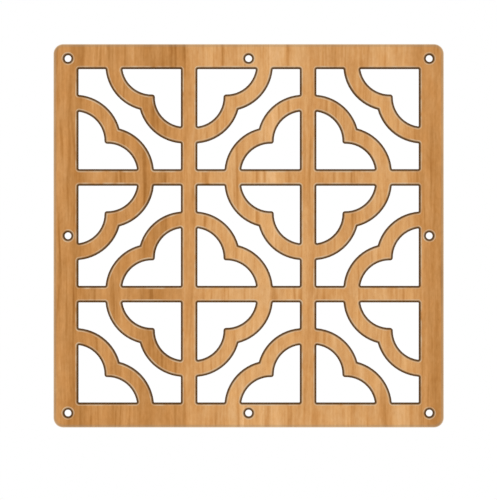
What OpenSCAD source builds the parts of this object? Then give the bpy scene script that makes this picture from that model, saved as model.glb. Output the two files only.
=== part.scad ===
// A hanging room divider panel: one sheet of five-ply wood, cut right through in a
// fret of quatrefoil rings on a grid of straight bars. The holes at its corners and
// at the middle of each edge take the links that hang it and tie it to the panels
// around it.
// X runs across the panel, Y from its front to its back, and Z up. The origin is the
// middle of the sheet. In the flat outline, x is X and y is Z.

/* [Panel] */
// Width of the panel
panel_w = 400; // [380:1:520]
// Height of the panel
panel_h = 393; // [373:1:513]
// Radius of the panel's four outer corners
corner_r = 10; // [1:0.5:13]

/* [Plies] */
// Thickness of the decorative veneer on each face
face_t = 0.6; // [0.3:0.1:1.5]
// Thickness of each crossband, whose grain runs across the panel
crossband_t = 0.8; // [0.4:0.1:2]
// Thickness of the core ply
core_t = 3.2; // [1:0.1:9]

/* [Grid] */
// Number of cells across the panel
columns = 3; // [1:1:3]
// Number of cells up the panel
rows = 3; // [1:1:3]
// Width of the border between the panel's edge and the first opening
border_w = 25.5; // [22:0.5:30]
// Width of the straight bars between the cells
bar_w = 17; // [10:0.5:22]

/* [Rings] */
// Width of the band that makes a ring
ring_w = 17.2; // [10:0.2:22]
// Radius of each lobe, at the middle of the band
lobe_r = 39; // [34:0.5:42]
// How far the centre of an upper or lower lobe lies from the ring's centre, up or down
upper_reach = 37.25; // [34:0.05:42]
// How far the centre of an upper or lower lobe lies beside the upright bar's middle line
upper_side = 4.8; // [0:0.2:8]
// How far the centre of a left or right lobe lies from the ring's centre, across
side_reach = 38.35; // [34:0.05:42]
// How far the centre of a left or right lobe lies above or below the level bar's middle line
side_rise = 4.2; // [0:0.2:8]
// Radius of the wood point between two lobes, inside a ring
ring_tip_r = 2.7; // [0.5:0.1:3]

/* [Cutting] */
// Radius in the corners of the openings
opening_r = 0.8; // [0.5:0.1:3]
// Diameter of the hanging holes
hole_d = 7; // [3:0.5:9]
// How far the centre of a hole lies in from the panel's edge
hole_inset = 14.75; // [8:0.25:18]

/* [Hidden] */
$fn = 96;

// How far a rounding runs past the two sides it would otherwise only touch, so that
// the outline has a clean corner there.
crossing = 0.005;

pitch_x = (panel_w - 2 * border_w + bar_w) / columns;
pitch_z = (panel_h - 2 * border_w + bar_w) / rows;
half_bar = bar_w / 2;
inner_r = lobe_r - ring_w / 2;
outer_r = lobe_r + ring_w / 2;
upper_lobe = [upper_side, upper_reach];
side_lobe = [side_reach, side_rise];
core_y = core_t / 2;
face_y = core_y + crossband_t;
surface_y = face_y + face_t;

// ---- The grid ----

// Every second crossing of the grid, counted from the top left, carries a ring.
function has_ring(i, j) = (i + j) % 2 == 1;

module grid_point(i, j) {
    translate([(i - columns / 2) * pitch_x, (rows / 2 - j) * pitch_z])
        children();
}

// At the corners of cell (i, j) that carry a ring, or at those that don't: the first
// quadrant about each is turned into the cell.
module at_cell_corners(i, j, ringed) {
    for (right = [0, 1], down = [0, 1])
        if (has_ring(i + right, j + down) == ringed)
            grid_point(i + right, j + down)
                mirror([right, 0])
                    mirror([0, 1 - down])
                        children();
}

// ---- Rounded corners ----

// What a rounding of radius r takes up of a corner: a kite from the rounding's centre
// through the two points where it meets the corner's sides, less the circle itself.
// The kite runs on past both sides.
module corner_piece(centre, meets_a, meets_b, r) {
    past = 1.4;
    arm_a = past * (meets_a - centre);
    arm_b = past * (meets_b - centre);
    translate(centre)
        difference() {
            polygon([[0, 0], arm_a, arm_a + arm_b, arm_b]);
            circle(r = r + crossing);
        }
}

// Where an opening has a square corner between two bars.
module square_corner() {
    inset = half_bar + opening_r;
    corner_piece([inset, inset], [half_bar, inset], [inset, half_bar], opening_r);
}

// Where an opening has a corner between the upright bar and the far end of an upper
// lobe: side is -1 for the opening inside the lobe, and 1 for the opening outside it.
module lobe_corner(lobe, lobe_edge_r, side) {
    centre_r = lobe_edge_r + side * opening_r;
    across = half_bar + opening_r - lobe.x;
    centre = [half_bar + opening_r, lobe.y + sqrt(centre_r ^ 2 - across ^ 2)];
    on_lobe = lobe + (centre - lobe) * lobe_edge_r / centre_r;
    corner_piece(centre, [half_bar, centre.y], on_lobe, opening_r);
}

// That corner and the one between the level bar and a side lobe, which is made the same
// way about the diagonal.
module lobe_corners(lobe_edge_r, side) {
    lobe_corner(upper_lobe, lobe_edge_r, side);
    mirror([1, -1])
        lobe_corner([side_lobe.y, side_lobe.x], lobe_edge_r, side);
}

// Where two lobes leave a point of wood inside a ring.
module tip_corner() {
    centre_r = inner_r + ring_tip_r;
    apart = side_lobe - upper_lobe;
    outward = [-apart.y, apart.x] / norm(apart);
    centre = (upper_lobe + side_lobe) / 2 + outward * sqrt(centre_r ^ 2 - (norm(apart) / 2) ^ 2);
    on_upper = upper_lobe + (centre - upper_lobe) * inner_r / centre_r;
    on_side = side_lobe + (centre - side_lobe) * inner_r / centre_r;
    corner_piece(centre, on_upper, on_side, ring_tip_r);
}

// ---- Openings ----

module lobe_pair(r) {
    for (lobe = [upper_lobe, side_lobe])
        translate(lobe)
            circle(r = r);
}

// A quarter of a ring's inside, between the two bars that cross at its centre.
module ring_quarter() {
    difference() {
        union() {
            intersection() {
                translate([half_bar, half_bar])
                    square([side_reach, upper_reach] + [inner_r, inner_r]);
                union() {
                    lobe_pair(inner_r);
                    polygon([[0, 0], upper_lobe, side_lobe]);
                }
            }
            tip_corner();
        }
        square_corner();
        lobe_corners(inner_r, -1);
    }
}

// What a ring and its rounded corners take from the cell around it.
module ring_outside() {
    lobe_pair(outer_r);
    lobe_corners(outer_r, 1);
}

module cell_openings(i, j) {
    at_cell_corners(i, j, true)
        ring_quarter();
    difference() {
        grid_point(i + 0.5, j + 0.5)
            square([pitch_x - bar_w, pitch_z - bar_w], center = true);
        at_cell_corners(i, j, true)
            ring_outside();
        at_cell_corners(i, j, false)
            square_corner();
    }
}

module hanging_holes() {
    hole_x = panel_w / 2 - hole_inset;
    hole_z = panel_h / 2 - hole_inset;
    for (x = [-hole_x, 0, hole_x], z = [-hole_z, 0, hole_z])
        if (x != 0 || z != 0)
            translate([x, z])
                circle(d = hole_d);
}

// ---- The sheet ----

module sheet_blank() {
    square([panel_w - 2 * corner_r, panel_h], center = true);
    square([panel_w, panel_h - 2 * corner_r], center = true);
    for (side = [-1, 1], end = [-1, 1])
        translate([side * (panel_w / 2 - corner_r), end * (panel_h / 2 - corner_r)])
            circle(r = corner_r);
}

module sheet_outline() {
    difference() {
        sheet_blank();
        for (i = [0 : columns - 1], j = [0 : rows - 1])
            cell_openings(i, j);
        hanging_holes();
    }
}

// A layer of the sheet, from depth y_front to depth y_back.
module ply(y_front, y_back) {
    translate([0, y_back, 0])
        rotate([90, 0, 0])
            linear_extrude(y_back - y_front)
                sheet_outline();
}

// ---- The plies, front to back ----

module front_face_veneer() {
    color("peru")
        ply(-surface_y, -face_y);
}

module front_crossband() {
    color("burlywood")
        ply(-face_y, -core_y);
}

module core_ply() {
    color("tan")
        ply(-core_y, core_y);
}

module back_crossband() {
    color("burlywood")
        ply(core_y, face_y);
}

module back_face_veneer() {
    color("peru")
        ply(face_y, surface_y);
}

front_face_veneer();
front_crossband();
core_ply();
back_crossband();
back_face_veneer();
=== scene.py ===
# %% [markdown]
# # A fretted wooden panel, dressed for its picture
# The object is a hanging room divider panel: one sheet of five-ply wood, cut right
# through by a laser. The frame that is loaded here holds its five plies, front to
# back, at their real size in metres. X runs across the panel, Y from its front to its
# back, and Z up, and the middle of the sheet is at the origin.
#
# All the shape is in those plies already. What is left for this lesson is what the
# eye reads as wood: the face veneers with their scorched edges, the layers that show
# at the rim, and a plain pale stage with soft light.

# %% Load the frame
import math

import bpy
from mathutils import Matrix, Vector


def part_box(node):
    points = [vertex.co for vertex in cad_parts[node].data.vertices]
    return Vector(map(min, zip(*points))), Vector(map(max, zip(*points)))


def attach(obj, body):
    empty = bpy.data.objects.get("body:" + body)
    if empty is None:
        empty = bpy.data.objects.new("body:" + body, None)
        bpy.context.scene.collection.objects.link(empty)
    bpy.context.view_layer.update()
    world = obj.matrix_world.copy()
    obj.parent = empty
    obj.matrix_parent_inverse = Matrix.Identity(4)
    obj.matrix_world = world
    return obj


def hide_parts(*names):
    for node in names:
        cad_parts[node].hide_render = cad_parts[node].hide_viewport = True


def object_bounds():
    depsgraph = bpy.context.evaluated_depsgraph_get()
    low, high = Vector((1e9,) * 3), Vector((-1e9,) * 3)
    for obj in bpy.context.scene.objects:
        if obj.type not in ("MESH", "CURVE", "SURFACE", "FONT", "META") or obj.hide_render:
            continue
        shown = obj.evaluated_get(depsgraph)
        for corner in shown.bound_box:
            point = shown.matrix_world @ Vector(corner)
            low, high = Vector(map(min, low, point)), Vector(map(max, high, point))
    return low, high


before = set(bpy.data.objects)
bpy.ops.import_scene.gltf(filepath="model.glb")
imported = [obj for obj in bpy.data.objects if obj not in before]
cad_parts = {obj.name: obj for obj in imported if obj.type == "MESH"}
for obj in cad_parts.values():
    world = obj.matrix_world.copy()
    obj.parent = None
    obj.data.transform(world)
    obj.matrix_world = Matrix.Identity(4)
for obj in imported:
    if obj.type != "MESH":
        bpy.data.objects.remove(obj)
CAD_LOW, CAD_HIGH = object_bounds()
PANEL_W, PANEL_T, PANEL_H = CAD_HIGH - CAD_LOW
print(f"panel {PANEL_W:.4f} m wide, {PANEL_H:.4f} m high, {PANEL_T:.4f} m thick")

# %% [markdown]
# ## Small helpers
# Blender's operators act on whatever is selected, and loading the frame leaves its
# nodes selected. So each piece of modelling starts by clearing the selection and
# picking one object. Faces or edges are then picked in code, by where they lie and
# which way they point, just as a modeller would click on them.

# %% Selection helpers
def pick_only(obj):
    bpy.ops.object.select_all(action="DESELECT")
    obj.select_set(True)
    bpy.context.view_layer.objects.active = obj


def pick(obj, mode, wanted):
    """Leaves only the faces or edges selected for which wanted is true, in edit mode."""
    pick_only(obj)
    bpy.ops.object.mode_set(mode="EDIT")
    bpy.ops.mesh.select_mode(type=mode)
    bpy.ops.mesh.select_all(action="DESELECT")
    bpy.ops.object.mode_set(mode="OBJECT")
    for part in obj.data.polygons if mode == "FACE" else obj.data.edges:
        part.select = wanted(part)
    bpy.ops.object.mode_set(mode="EDIT")


print(f"{len(bpy.context.selected_objects)} nodes are still selected from the loading")

# %% [markdown]
# ## Where the rim ends and the fret begins
# The laser scorched every opening and hole, but the panel's own outline is clean: it
# was sawn and sanded. So each finish has to know the rim from the fret. The outline
# is a rectangle with rounded corners. How far a point lies in from it is found by
# shrinking the rectangle by its corner radius, and measuring from what is left.

# %% The outline as a formula
CORNER_R = 0.010


def in_from_rim(point):
    past_x = max(abs(point.x) - (PANEL_W / 2 - CORNER_R), 0)
    past_z = max(abs(point.z) - (PANEL_H / 2 - CORNER_R), 0)
    return CORNER_R - math.hypot(past_x, past_z)


corner_gap = -in_from_rim(Vector((PANEL_W / 2, 0, PANEL_H / 2)))
print(f"the rounding takes {corner_gap * 1000:.2f} mm off each square corner")

# %% [markdown]
# ## The face veneers
# A laser burns the wood on each side of its cut. Seen from the front it leaves a dark
# line about 2 mm wide along every opening, and just beyond it the wood is a touch
# paler, where the smoke was wiped off. Both lines follow the cut exactly, so they are
# modelled and not painted: each face veneer is a merged copy of its ply, and its outer
# face is inset twice. Every point then gets a number, `near_cut`, that falls from 1 on
# the cut to 0 where the wood is clean, and the material reads it.
#
# Why twice? The wood between two lobes of a ring ends in a tip with a radius of
# 2.7 mm. An inset of exactly that much closes the tip's curve to almost a single
# point, where its corners can be merged. A deeper inset in one go would fold the tip
# over itself. The long thin triangles that fill the face would be dragged across one
# another too, so after each inset they are deleted, and the open field is filled
# afresh from its edges.

# %% Inset a face and fill it afresh
TIP_R = 0.0027
BAND_W = 0.0034
CLOSED = 0.0002  # the points of a closed tip lie nearer to each other than this


def inset_field(thickness):
    """Insets the picked faces, and leaves the new field inside them picked."""
    bpy.ops.object.mode_set(mode="EDIT")
    bpy.ops.mesh.inset(thickness=thickness, depth=0, use_boundary=True, use_even_offset=True)
    bpy.ops.mesh.remove_doubles(threshold=CLOSED)
    bpy.ops.mesh.delete(type="FACE")
    bpy.ops.mesh.select_mode(type="EDGE")
    bpy.ops.mesh.select_non_manifold(use_multi_face=False, use_non_contiguous=False, use_verts=False)
    bpy.ops.mesh.fill(use_beauty=True)
    bpy.ops.mesh.select_mode(type="FACE")
    bpy.ops.object.mode_set(mode="OBJECT")


print(f"the band is {BAND_W * 1000:.1f} mm wide, with a step at {TIP_R * 1000:.1f} mm")

# %% [markdown]
# The inset runs along the panel's rim as well, but nothing is burnt there. So every
# point of the rim's own band keeps the value of clean wood.

# %% Say how near the cut a point is
RIM_BAND = BAND_W + 0.0005


def set_near_cut(piece, value):
    """Gives all points of the picked faces a value, but 0 beside the rim."""
    near_cut = piece.data.attributes["near_cut"]
    for face in piece.data.polygons:
        if face.select:
            for index in face.vertices:
                clean = in_from_rim(piece.data.vertices[index].co) < RIM_BAND
                near_cut.data[index].value = 0.0 if clean else value


print(f"clean for {RIM_BAND * 1000:.1f} mm in from the rim")

# %% [markdown]
# The laser leaves its edges sharp. The panel's own rim was sanded instead, so a small
# bevel eases the rim of each face veneer, and the light rounds off there.

# %% Copy a ply and give it a scorched border
EASED_R = 0.0004
TOUCHING = 1e-6  # two points nearer to each other than this are the same one
HAIR = 1e-5  # a point nearer to the surface or to the rim than this lies on it


def scorched_veneer(node, name, outward):
    """A dressed copy of a face veneer whose outer face points along outward."""
    ply = bpy.data.objects[node]
    piece = ply.copy()
    piece.data = ply.data.copy()
    piece.name = piece.data.name = name
    bpy.context.collection.objects.link(piece)
    piece.data.attributes.new("near_cut", "FLOAT", "POINT")

    pick(piece, "FACE", lambda face: True)
    bpy.ops.mesh.remove_doubles(threshold=TOUCHING)
    bpy.ops.object.mode_set(mode="OBJECT")
    set_near_cut(piece, 1.0)

    pick(piece, "FACE", lambda face: face.normal.dot(outward) > 0.9)
    inset_field(TIP_R)
    set_near_cut(piece, 1 - TIP_R / BAND_W)
    inset_field(BAND_W - TIP_R)
    set_near_cut(piece, 0.0)

    surface = max(outward.dot(vertex.co) for vertex in piece.data.vertices)

    def on_outer_rim(edge):
        ends = [piece.data.vertices[index].co for index in edge.vertices]
        return all(outward.dot(end) > surface - HAIR and in_from_rim(end) < HAIR for end in ends)

    pick(piece, "EDGE", on_outer_rim)
    bpy.ops.mesh.bevel(offset=EASED_R, segments=3)
    bpy.ops.mesh.select_mode(type="FACE")
    bpy.ops.mesh.select_all(action="SELECT")
    bpy.ops.mesh.normals_make_consistent(inside=False)
    bpy.ops.object.mode_set(mode="OBJECT")
    bpy.ops.object.shade_smooth_by_angle(angle=math.radians(40))
    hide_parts(node)
    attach(piece, "root")
    print(f"{name}: {len(piece.data.polygons)} faces")
    return piece


front_veneer = scorched_veneer("front_face_veneer", "front_veneer_dressed", Vector((0, -1, 0)))
back_veneer = scorched_veneer("back_face_veneer", "back_veneer_dressed", Vector((0, 1, 0)))

# %% [markdown]
# ## Building a material in code
# A procedural material is a small machine of nodes, and writing it out in code gets
# long. A few helpers keep it readable. `add` places a node and fills its sockets, each
# with a plain value or with another node's output.

# %% Make a material and add a node
def new_material(name):
    material = bpy.data.materials.new(name)
    material.use_nodes = True
    material.node_tree.nodes.clear()
    return material


def add(tree, kind, sockets=None, **settings):
    made = tree.nodes.new(kind)
    for key, value in settings.items():
        setattr(made, key, value)
    for key, value in (sockets or {}).items():
        if isinstance(value, bpy.types.NodeSocket):
            tree.links.new(value, made.inputs[key])
        else:
            made.inputs[key].default_value = value
    return made


print("helpers ready: new_material, add")

# %% [markdown]
# Three more are built on it. `maths` does a sum, `spread` stretches part of a range to
# run from 0 to 1, and `blend` mixes two colours, by as much as a number says.

# %% Sums and blends
def maths(tree, operation, *values):
    return add(tree, "ShaderNodeMath", dict(enumerate(values)), operation=operation).outputs[0]


def spread(tree, value, low, high):
    """Stretches the part of value between low and high to 0 to 1."""
    return add(tree, "ShaderNodeMapRange", {"Value": value, "From Min": low, "From Max": high}).outputs[0]


def blend(tree, amount, a, b, blend_type="MIX"):
    made = add(tree, "ShaderNodeMix", {"Factor": amount}, data_type="RGBA", blend_type=blend_type)
    for socket, colour in zip(("A_Color", "B_Color"), (a, b)):
        made_socket = next(one for one in made.inputs if one.identifier == socket)
        if isinstance(colour, bpy.types.NodeSocket):
            tree.links.new(colour, made_socket)
        else:
            made_socket.default_value = colour
    return next(one for one in made.outputs if one.identifier == "Result_Color")


print("helpers ready: maths, spread, blend")

# %% [markdown]
# The last one turns a number into a colour, by way of a list of stops.

# %% Colour ramp
def ramp(tree, value, stops):
    made = add(tree, "ShaderNodeValToRGB", {"Fac": value})
    elements = made.color_ramp.elements
    while len(elements) < len(stops):
        elements.new(0.5)
    for element, (place, colour) in zip(elements, stops):
        element.position = place
        element.color = colour
    return made.outputs["Color"]


print("helper ready: ramp")

# %% [markdown]
# ## Colours read off a picture
# A picture stores how bright a thing looked, and a shader wants how much light it
# gives back. Two steps lead from one to the other. The first undoes the picture's own
# curve. The second takes out what this stage does: its even white light shows a satin
# surface as its own colour plus a little white sheen. How much was measured on grey
# test panels.

# %% Picture colour to shader colour
STAGE_SHEEN = 0.0091
DARKEST = 0.002


def seen(red, green, blue):
    def linear(value):
        value /= 255
        value = value / 12.92 if value <= 0.04045 else ((value + 0.055) / 1.055) ** 2.4
        return max(value - STAGE_SHEEN, DARKEST)
    return (linear(red), linear(green), linear(blue), 1.0)


def grey(level):
    return (level, level, level, 1.0)


print(f"a grey seen as 128 of 255 gives back {seen(128, 128, 128)[0]:.3f} of the light")

# %% [markdown]
# ## Where the grain runs
# Wood grain is noise that has been stretched along the tree. It is never quite
# straight, so the place that the noise reads is first pushed sideways by a slow noise
# of its own, and everything in the grain then wanders together. A seed moves the
# whole pattern, so the back isn't the front again.

# %% Grain helpers
SWAYS = [  # width and length of a sway, and how far it pushes
    (0.070, 0.240, 0.012),
    (0.022, 0.070, 0.004),
]


def stretched_noise(tree, place, period, seed, detail=2.0):
    """Noise about 0.5 whose lumps are about as long as period, in metres, each way."""
    scale = [1 / length for length in period]
    mapped = add(tree, "ShaderNodeMapping", {"Vector": place, "Location": seed, "Scale": scale})
    noise = add(tree, "ShaderNodeTexNoise", {"Vector": mapped.outputs[0], "Scale": 1.0, "Detail": detail})
    return noise.outputs["Fac"]


def own_place(tree):
    return add(tree, "ShaderNodeTexCoord").outputs["Object"]


def wandering_place(tree, seed):
    place = own_place(tree)
    sideways = 0.0
    for width, length, reach in SWAYS:
        sway = stretched_noise(tree, own_place(tree), (width, 1, length), seed, detail=1.0)
        sideways = maths(tree, "MULTIPLY_ADD", maths(tree, "SUBTRACT", sway, 0.5), reach, sideways)
    push = add(tree, "ShaderNodeCombineXYZ", {"X": sideways}).outputs[0]
    return add(tree, "ShaderNodeVectorMath", {0: place, 1: push}, operation="ADD").outputs[0]


def from_rim(tree):
    """How far a point lies in from the panel's outline, the same sum as in_from_rim."""
    xyz = add(tree, "ShaderNodeSeparateXYZ", {0: own_place(tree)}).outputs
    squares = []
    for axis, half in (("X", PANEL_W / 2), ("Z", PANEL_H / 2)):
        past = maths(tree, "SUBTRACT", maths(tree, "ABSOLUTE", xyz[axis]), half - CORNER_R)
        squares.append(maths(tree, "POWER", maths(tree, "MAXIMUM", past, 0.0), 2.0))
    return maths(tree, "SUBTRACT", CORNER_R, maths(tree, "SQRT", maths(tree, "ADD", *squares)))


print("sways as long as", " and ".join(f"{length * 1000:.0f} mm" for _, length, _ in SWAYS))

# %% [markdown]
# ## The wood of the faces
# The veneer is a warm golden brown with an upright grain. A face is one leaf, sliced
# from one log, so its broad tone only changes across the panel: brown on the left,
# palest at the middle, golden on the right and darker again at that edge. On top of
# that lie bands a finger wide, streaks, lines, soft patches, short flecks and fine
# fibres. Each is a noise with its own width, length and strength.

# %% The leaf's tone and its layers of grain
FRONT_LEAF = [
    (0.00, grey(0.50)), (0.06, grey(0.31)), (0.10, grey(0.46)), (0.20, grey(0.46)),
    (0.25, grey(0.31)), (0.30, grey(0.41)), (0.38, grey(0.63)), (0.55, grey(0.76)),
    (0.66, grey(0.59)), (0.91, grey(0.68)), (0.95, grey(0.41)), (0.98, grey(0.36)),
    (1.00, grey(0.43)),
]
BACK_LEAF = [
    (0.00, grey(0.50)), (0.22, grey(0.66)), (0.45, grey(0.46)), (0.70, grey(0.62)), (1.00, grey(0.44)),
]
FIBRE_W, FIBRE_L = 0.0007, 0.022
GRAIN_LAYERS = [  # width, length and strength
    (0.0160, 0.350, 0.46),
    (0.0070, 0.130, 0.42),
    (0.0030, 0.060, 0.38),
    (0.0090, 0.020, 0.28),
    (0.0022, 0.006, 0.30),
    (FIBRE_W, FIBRE_L, 0.10),
]
print(f"{len(GRAIN_LAYERS)} layers of grain, the finest {FIBRE_W * 1000:.1f} mm wide")

# %% [markdown]
# Real grain isn't even-handed: its dark veins are narrow and strong, and nothing as
# pale answers them. Two more noises make these veins. Only their peaks count, so a
# vein is thinner than its noise's lumps, and the rest of the leaf is lifted a little
# to make up for them. All of it adds up to one tone, and one colour ramp turns the
# tone into wood.

# %% Veins, and the tone as a whole
VEINS = [  # width and length of the lumps, detail, where a vein starts and is full, strength
    (0.0060, 0.080, 2.0, (0.58, 0.78), -0.25),
    (0.0048, 0.130, 0.6, (0.58, 0.80), -0.38),
]
VEIN_LIFT = 0.025
WOOD_STOPS = [
    (0.00, seen(163, 107, 50)),
    (0.31, seen(187, 131, 73)),
    (0.55, seen(206, 150, 92)),
    (0.78, seen(221, 170, 114)),
    (1.00, seen(236, 188, 136)),
]


def wood_tone(tree, leaf, seed):
    place = wandering_place(tree, seed)
    x = add(tree, "ShaderNodeSeparateXYZ", {0: place}).outputs["X"]
    across = spread(tree, x, -PANEL_W / 2, PANEL_W / 2)
    tone = maths(tree, "ADD", ramp(tree, across, leaf), VEIN_LIFT)
    for width, length, strength in GRAIN_LAYERS:
        noise = stretched_noise(tree, place, (width, 1, length), seed)
        tone = maths(tree, "MULTIPLY_ADD", maths(tree, "SUBTRACT", noise, 0.5), strength, tone)
    for width, length, detail, peaks, strength in VEINS:
        noise = stretched_noise(tree, place, (width, 1, length), seed, detail)
        tone = maths(tree, "MULTIPLY_ADD", spread(tree, noise, *peaks), strength, tone)
    return tone, place


print(f"{len(VEINS)} kinds of vein, the longest lumps {VEINS[-1][1] * 1000:.0f} mm")

# %% [markdown]
# ## The face veneer's material
# The clean wood comes first: the tone through its ramp, then a rosy blush here and
# there. Pores are thin dark dashes, where a fibre noise is at its highest.

# %% Clean wood
BLUSH = (1.01, 0.96, 0.86, 1.0)
BLUSH_PATCH = (0.012, 1, 0.022)
BLUSH_RANGE = (0.35, 0.70)
PORE = seen(152, 101, 56)
PORE_DASH = (0.0004, 1, 0.006)
PORE_PEAKS = (0.66, 0.76)
PORE_STRENGTH = 0.3


def clean_wood(tree, leaf, seed):
    tone, place = wood_tone(tree, leaf, seed)
    wood = ramp(tree, tone, WOOD_STOPS)
    blush_seed = (seed[0] + 5.0, 0.0, 3.0)
    blush = stretched_noise(tree, place, BLUSH_PATCH, blush_seed)
    wood = blend(tree, spread(tree, blush, *BLUSH_RANGE), wood, BLUSH, "MULTIPLY")
    dashes = stretched_noise(tree, place, PORE_DASH, seed, detail=1.0)
    pores = spread(tree, dashes, *PORE_PEAKS)
    wood = blend(tree, maths(tree, "MULTIPLY", pores, PORE_STRENGTH), wood, PORE)
    return wood, place, pores


print(f"pores {PORE_DASH[0] * 1000:.1f} mm wide and {PORE_DASH[2] * 1000:.0f} mm long")

# %% [markdown]
# Along the panel's outline a painted highlight makes the eased edge paler than the
# wood, and just inside it a painted shade makes a line that is a little greyer. Both
# lines are tones by distance.

# %% Painted shade and highlight along the rim
RIM_HIGHLIGHT_AND_SHADE = [  # where a tone starts and where it is full, how strong, and its colour
    # painted shade: a greyer line just inside the eased edge
    (0.0031, 0.0024, 0.28, seen(138, 142, 127)),
    # painted highlight: the eased edge paler, as if it caught the light
    (0.0011, 0.0004, 0.55, seen(234, 210, 177)),
]


# Lays the painted highlight and the painted shade along the outline.
def with_painted_rim_light(tree, wood):
    rim = from_rim(tree)
    for start, full, strength, colour in RIM_HIGHLIGHT_AND_SHADE:
        amount = maths(tree, "MULTIPLY", spread(tree, rim, start, full), strength)
        wood = blend(tree, amount, wood, colour)
    return wood


print(f"{len(RIM_HIGHLIGHT_AND_SHADE)} tones, from {RIM_HIGHLIGHT_AND_SHADE[0][0] * 1000:.1f} mm in")

# %% [markdown]
# Then come the two lines beside each cut, both from `near_cut`. The pale one is laid
# down first, stronger in some places than in others, as a rubbed surface is.

# %% Pale line
PALE = seen(221, 193, 158)
PALE_STRENGTH = 0.85
PALE_FADE = (0.0, 0.12)  # near_cut where the line starts and where it is full
RUB_SIZE = 0.009
RUB_RANGE = (0.2, 0.7)


def read_near_cut(tree):
    return add(tree, "ShaderNodeAttribute", attribute_name="near_cut").outputs["Fac"]


def with_pale_line(tree, wood, seed):
    rubs = stretched_noise(tree, own_place(tree), (RUB_SIZE,) * 3, seed, detail=1.0)
    rubbed = maths(tree, "MULTIPLY", spread(tree, rubs, *RUB_RANGE), PALE_STRENGTH)
    wiped = maths(tree, "MULTIPLY", spread(tree, read_near_cut(tree), *PALE_FADE), rubbed)
    return blend(tree, wiped, wood, PALE)


print(f"the pale line starts {(1 - PALE_FADE[0]) * BAND_W * 1000:.1f} mm from the cut")

# %% [markdown]
# The burn goes over it, with a little smoke noise so that its edge isn't ruled, and it
# deepens to char at the very cut.

# %% Burn
BURNT = seen(82, 55, 25)
BURN_STRENGTH = 0.94
BURN_FADE = (0.21, 0.575)  # near_cut where the burn starts and where it is full
CHAR_DEEP = seen(56, 40, 26)
CHAR_STRENGTH = 0.4
CHAR_FADE = (0.75, 1.00)
SMOKE_SIZE = 0.0018
SMOKE_REACH = 0.12


def with_burn(tree, wood, seed):
    smoke = stretched_noise(tree, own_place(tree), (SMOKE_SIZE,) * 3, seed)
    wisps = maths(tree, "SUBTRACT", smoke, 0.5)
    ragged = maths(tree, "MULTIPLY_ADD", wisps, SMOKE_REACH, read_near_cut(tree))
    burn = spread(tree, ragged, *BURN_FADE)
    wood = blend(tree, maths(tree, "MULTIPLY", burn, BURN_STRENGTH), wood, BURNT)
    char = maths(tree, "MULTIPLY", spread(tree, ragged, *CHAR_FADE), CHAR_STRENGTH)
    return blend(tree, char, wood, CHAR_DEEP), burn


print(f"the burn ends {(1 - BURN_FADE[0]) * BAND_W * 1000:.1f} mm from the cut")

# %% [markdown]
# The finish is a satin lacquer, rougher where the wood is burnt. The bump is made from
# the fibres and pores, and is far too shallow to see from the front, but it breaks up
# the sheen.

# %% Veneer material
WOOD_ROUGHNESS = 0.48
BURN_ROUGHENS = 0.3
LACQUER_SHEEN = 0.12
BUMP_STRENGTH = 0.5
GRAIN_DEPTH = 0.00004


def finish(tree, colour, roughness, height, depth):
    bump = add(tree, "ShaderNodeBump", {"Height": height, "Strength": BUMP_STRENGTH, "Distance": depth})
    shader = add(
        tree, "ShaderNodeBsdfPrincipled",
        {"Base Color": colour, "Roughness": roughness, "Normal": bump.outputs[0],
         "Specular IOR Level": LACQUER_SHEEN},
    )
    add(tree, "ShaderNodeOutputMaterial", {"Surface": shader.outputs[0]})


def veneer_material(name, leaf, seed):
    material = new_material(name)
    tree = material.node_tree
    wood, place, pores = clean_wood(tree, leaf, seed)
    # painted highlight and painted shade along the rim
    wood = with_painted_rim_light(tree, wood)
    wood = with_pale_line(tree, wood, seed)
    wood, burn = with_burn(tree, wood, seed)
    fibres = stretched_noise(tree, place, (FIBRE_W, 1, FIBRE_L), seed)
    height = maths(tree, "SUBTRACT", fibres, pores)
    roughness = maths(tree, "MULTIPLY_ADD", burn, BURN_ROUGHENS, WOOD_ROUGHNESS)
    finish(tree, wood, roughness, height, GRAIN_DEPTH)
    return material


def dress(obj, material):
    obj.data.materials.clear()
    obj.data.materials.append(material)
    print(f"{obj.name}: {material.name}, {len(material.node_tree.nodes)} nodes")


dress(front_veneer, veneer_material("veneer_front", FRONT_LEAF, (0.0, 0.0, 0.0)))
dress(back_veneer, veneer_material("veneer_back", BACK_LEAF, (7.3, 2.0, 4.1)))

# %% [markdown]
# ## The plies inside
# The core and the crossbands only show at the edges. Their fibres are long and thin,
# upright in the core and level in the crossbands, and one stretched noise gives both
# looks at once: lines where the edge runs with the grain, and specks where it cuts
# across it. End grain drinks more finish, so it is darker, and a thin dark glue line
# lies between each two plies.

# %% Edge of a ply
PLY_SEED = (3.1, 1.7, 5.9)
FIBRE_RANGE = (0.3, 0.7)
END_GRAIN = 0.55
GLUE_LINE = 0.00008
GLUE = seen(112, 76, 46)
GLUE_STRENGTH = 0.7


def edge_wood(tree, light, dark, fibre, end_axis, glue_at):
    place = own_place(tree)
    fibres = stretched_noise(tree, place, fibre, PLY_SEED, detail=3.0)
    wood = blend(tree, spread(tree, fibres, *FIBRE_RANGE), dark, light)
    normal = add(tree, "ShaderNodeNewGeometry").outputs["Normal"]
    facing = add(tree, "ShaderNodeSeparateXYZ", {0: normal}).outputs[end_axis]
    end_grain = maths(tree, "MULTIPLY", maths(tree, "ABSOLUTE", facing), END_GRAIN)
    wood = blend(tree, end_grain, wood, dark)

    depth = maths(tree, "ABSOLUTE", add(tree, "ShaderNodeSeparateXYZ", {0: place}).outputs["Y"])
    for joint in glue_at:
        off_joint = maths(tree, "ABSOLUTE", maths(tree, "SUBTRACT", depth, joint))
        line = maths(tree, "LESS_THAN", off_joint, GLUE_LINE)
        wood = blend(tree, maths(tree, "MULTIPLY", line, GLUE_STRENGTH), wood, GLUE)
    return wood


print(f"glue lines {GLUE_LINE * 1000:.2f} mm to each side of a joint")

# %% [markdown]
# Inside the fret the laser has charred all of it, and left fine ridges that run
# straight through the sheet. Anything further in than the outline itself is a cut
# wall, so distance from the rim tells the two kinds of edge apart.

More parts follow.
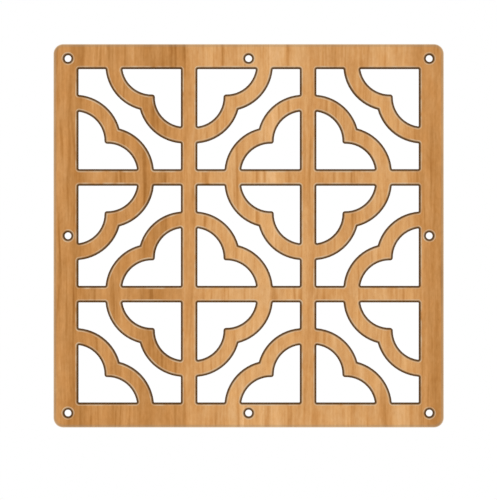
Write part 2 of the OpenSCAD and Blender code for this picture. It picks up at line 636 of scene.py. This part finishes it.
# %% Ply material
ON_RIM = 0.0004
CHAR_RIDGE = seen(96, 70, 48)
RIDGE = (0.0006, 0.012, 0.0006)
RIDGE_RANGE = (0.35, 0.65)
RIDGE_DEPTH = 0.00006
PLY_ROUGHNESS = 0.6
CHAR_ROUGHENS = 0.2


def ply_material(name, light, dark, fibre, end_axis, glue_at):
    material = new_material(name)
    tree = material.node_tree
    wood = edge_wood(tree, light, dark, fibre, end_axis, glue_at)
    charred = maths(tree, "GREATER_THAN", from_rim(tree), ON_RIM)
    ridges = stretched_noise(tree, own_place(tree), RIDGE, (0, 0, 0), detail=1.0)
    char = blend(tree, spread(tree, ridges, *RIDGE_RANGE), CHAR_DEEP, CHAR_RIDGE)
    wood = blend(tree, charred, wood, char)
    roughness = maths(tree, "MULTIPLY_ADD", charred, CHAR_ROUGHENS, PLY_ROUGHNESS)
    finish(tree, wood, roughness, ridges, RIDGE_DEPTH)
    return material


print(f"ridges {RIDGE[0] * 1000:.1f} mm apart and {RIDGE_DEPTH * 1000:.2f} mm deep")

# %% [markdown]
# The joints lie where the plies' own boxes end, so they are read off the frame. A box
# is its low and its high corner, and the second number of a corner is its Y.

# %% Dress the plies inside
UPRIGHT_FIBRE = (0.0006, 0.0006, 0.025)
LEVEL_FIBRE = (0.025, 0.0006, 0.0006)
CORE_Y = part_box("core_ply")[1][1]
FACE_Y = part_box("back_crossband")[1][1]
core_look = ply_material(
    "core_wood", seen(220, 180, 130), seen(178, 132, 84), UPRIGHT_FIBRE, "Z", (CORE_Y,)
)
crossband_look = ply_material(
    "crossband_wood", seen(196, 150, 100), seen(140, 96, 58), LEVEL_FIBRE, "X", (CORE_Y, FACE_Y)
)
dress(bpy.data.objects["core_ply"], core_look)
for node in ("front_crossband", "back_crossband"):
    dress(bpy.data.objects[node], crossband_look)
print(f"joints at {CORE_Y * 1000:.1f} mm and {FACE_Y * 1000:.1f} mm from the middle")

# %% [markdown]
# ## Stage and light
# The panel hangs clear of everything, so the stage is only a pale floor below it. A
# white sky gives the even light of a catalogue picture and a white ground behind the
# openings. One large soft lamp from the upper left adds the little direction that
# lets the edges read.

# %% Floor
FLOOR_Z = -0.9
FLOOR_R = 10.0
bpy.ops.object.select_all(action="DESELECT")
bpy.ops.mesh.primitive_circle_add(
    vertices=128, radius=FLOOR_R, fill_type="NGON", location=(0, 0, FLOOR_Z)
)
floor = bpy.context.active_object
floor.name = "stage_floor"
bpy.ops.object.transform_apply(location=True, rotation=False, scale=False)
floor_look = new_material("pale_floor")
floor_shader = add(
    floor_look.node_tree, "ShaderNodeBsdfPrincipled", {"Base Color": grey(0.90), "Roughness": 0.9}
)
add(floor_look.node_tree, "ShaderNodeOutputMaterial", {"Surface": floor_shader.outputs[0]})
floor.data.materials.append(floor_look)
print(f"floor {2 * FLOOR_R:.0f} m across, {-FLOOR_Z:.1f} m below the panel's middle")

# %% [markdown]
# The sky lights the panel from all sides at full white, and the picture's colours are
# shown as they are, with no film look. The lamp points at the middle of the panel.

# %% Sky and lamp
scene = bpy.context.scene
sky = bpy.data.worlds.new("white_sky")
sky.use_nodes = True
sky.node_tree.nodes["Background"].inputs["Color"].default_value = (1, 1, 1, 1)
sky.node_tree.nodes["Background"].inputs["Strength"].default_value = 1.0
scene.world = sky
scene.view_settings.view_transform = "Standard"
scene.view_settings.look = "None"


def soft_lamp(name, size, watts, location):
    lamp = bpy.data.lights.new(name, "AREA")
    lamp.shape = "SQUARE"
    lamp.size = size
    lamp.energy = watts
    obj = bpy.data.objects.new(name, lamp)
    bpy.context.collection.objects.link(obj)
    obj.location = location
    obj.rotation_euler = (-Vector(location)).to_track_quat("-Z", "Y").to_euler()
    return obj


soft_lamp("key_lamp", size=1.6, watts=6.0, location=(-1.4, -2.2, 1.6))
print("stage ready")

# %% [markdown]
# ## The camera
# The photograph looks straight at the panel, with no perspective to be seen, so the
# camera stands far off with a long lens. The picture is 497 by 500 pixels, and the
# panel is 389.97 of them wide. That gives the width of the view in metres, and the
# place of the panel's middle in the picture gives the small shift of the camera.

# %% Camera
PICTURE_W, PICTURE_H = 497, 500
PANEL_PIXELS = 389.97
PANEL_MIDDLE = (248.63, 235.80)
CAMERA_FAR = 6.0
metres_per_pixel = PANEL_W / PANEL_PIXELS
view_width = PICTURE_W * metres_per_pixel
camera = bpy.data.cameras.new("camera")
camera.sensor_fit = "HORIZONTAL"
camera.sensor_width = 36
camera.lens = camera.sensor_width * CAMERA_FAR / view_width
camera_object = bpy.data.objects.new("camera", camera)
bpy.context.collection.objects.link(camera_object)
camera_object.location = (
    (PICTURE_W / 2 - PANEL_MIDDLE[0]) * metres_per_pixel,
    -CAMERA_FAR,
    (PANEL_MIDDLE[1] - PICTURE_H / 2) * metres_per_pixel,
)
camera_object.rotation_euler = (math.radians(90), 0, 0)
scene.camera = camera_object
print(f"lens {camera.lens:.0f} mm, view {view_width:.4f} m wide")

# %% [markdown]
# ## The end
# The dressed panel has to fill the same space as the plies it stands for.

# %% Finish
print("scene finished")
